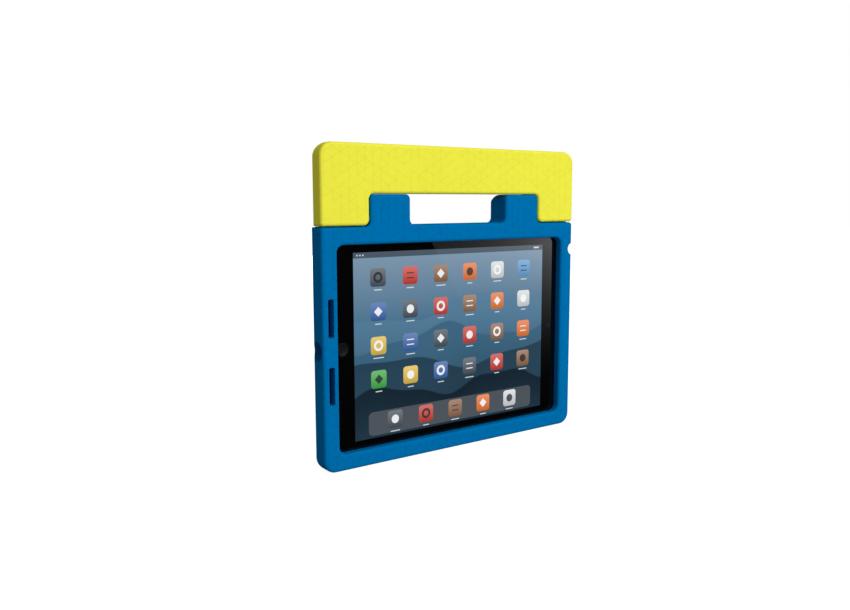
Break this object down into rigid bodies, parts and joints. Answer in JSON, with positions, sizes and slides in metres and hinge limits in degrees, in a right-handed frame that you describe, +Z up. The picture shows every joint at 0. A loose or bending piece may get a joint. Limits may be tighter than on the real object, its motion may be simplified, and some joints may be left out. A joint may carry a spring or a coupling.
{
  "type": "kids tablet case with handle",
  "caption": "Thick foam case in two colours that holds a tablet upright; its handle swings back on a hinge to make a stand.",
  "frame": {"origin": "middle of the bottom edge, on the surface that the case stands on", "axes": "+Z up to the handle, +Y from the screen towards the back, +X to the right as the screen is seen"},
  "size_m": [0.258, 0.0212, 0.2498],
  "materials": {
    "blue_foam": "matt closed-cell foam, faint engraved triangles",
    "yellow_foam": "matt closed-cell foam, faint engraved triangles",
    "hinge_steel": "drawn",
    "bush_plastic": "moulded",
    "shell_aluminium": "fine bead-blasted",
    "cover_glass": "polished, black border",
    "display": "lit screen",
    "black_button": "polished, dished",
    "lens": "coated glass",
    "button_aluminium": "fine bead-blasted",
    "socket_metal": "stamped",
    "black_plastic": "moulded",
    "battery_foil": "wrapped foil",
    "circuit_board": "solder mask",
    "shield_steel": "stamped"
  },
  "bodies": {
    "case": {"case_body": "blue_foam", "hinge_bush_left": "bush_plastic", "hinge_bush_right": "bush_plastic", "rear_shell": "shell_aluminium", "cover_glass": "cover_glass", "display_panel": "display", "front_camera": "lens", "rear_camera": "lens", "charging_socket": "socket_metal", "headphone_socket": "black_plastic", "speaker_upper": "black_plastic", "speaker_lower": "black_plastic", "battery_cell_left": "battery_foil", "battery_cell_right": "battery_foil", "logic_board": "circuit_board", "shield_can": "shield_steel", "board_screw_1": "shield_steel", "board_screw_2": "shield_steel", "board_screw_3": "shield_steel", "board_screw_4": "shield_steel"},
    "carrying_handle": {"handle": "yellow_foam", "hinge_pin_left": "hinge_steel", "hinge_pin_right": "hinge_steel"},
    "home_key": {"home_button": "black_button"},
    "power_key": {"power_button": "button_aluminium"},
    "volume_up_key": {"volume_up_button": "button_aluminium"},
    "volume_down_key": {"volume_down_button": "button_aluminium"},
    "mute_slider": {"side_switch": "button_aluminium"}
  },
  "joints": [
    {"name": "handle_swing", "type": "hinge", "parent": "case", "child": "carrying_handle", "pos_m": [0, 0.0025, 0.20015], "axis": [-1, 0, 0], "range_deg": [0, 110]},
    {"name": "home_press", "type": "slide", "parent": "case", "child": "home_key", "axis": [0, 1, 0], "range_m": [0, 0.0005], "stiffness_N_per_m": 800},
    {"name": "power_press", "type": "slide", "parent": "case", "child": "power_key", "axis": [-1, 0, 0], "range_m": [0, 0.0004], "stiffness_N_per_m": 1000},
    {"name": "volume_up_press", "type": "slide", "parent": "case", "child": "volume_up_key", "axis": [0, 0, 1], "range_m": [0, 0.0004], "stiffness_N_per_m": 1000},
    {"name": "volume_down_press", "type": "slide", "parent": "case", "child": "volume_down_key", "axis": [0, 0, 1], "range_m": [0, 0.0004], "stiffness_N_per_m": 1000},
    {"name": "switch_slide", "type": "slide", "parent": "case", "child": "mute_slider", "axis": [1, 0, 0], "range_m": [0, 0.0016]}
  ]
}
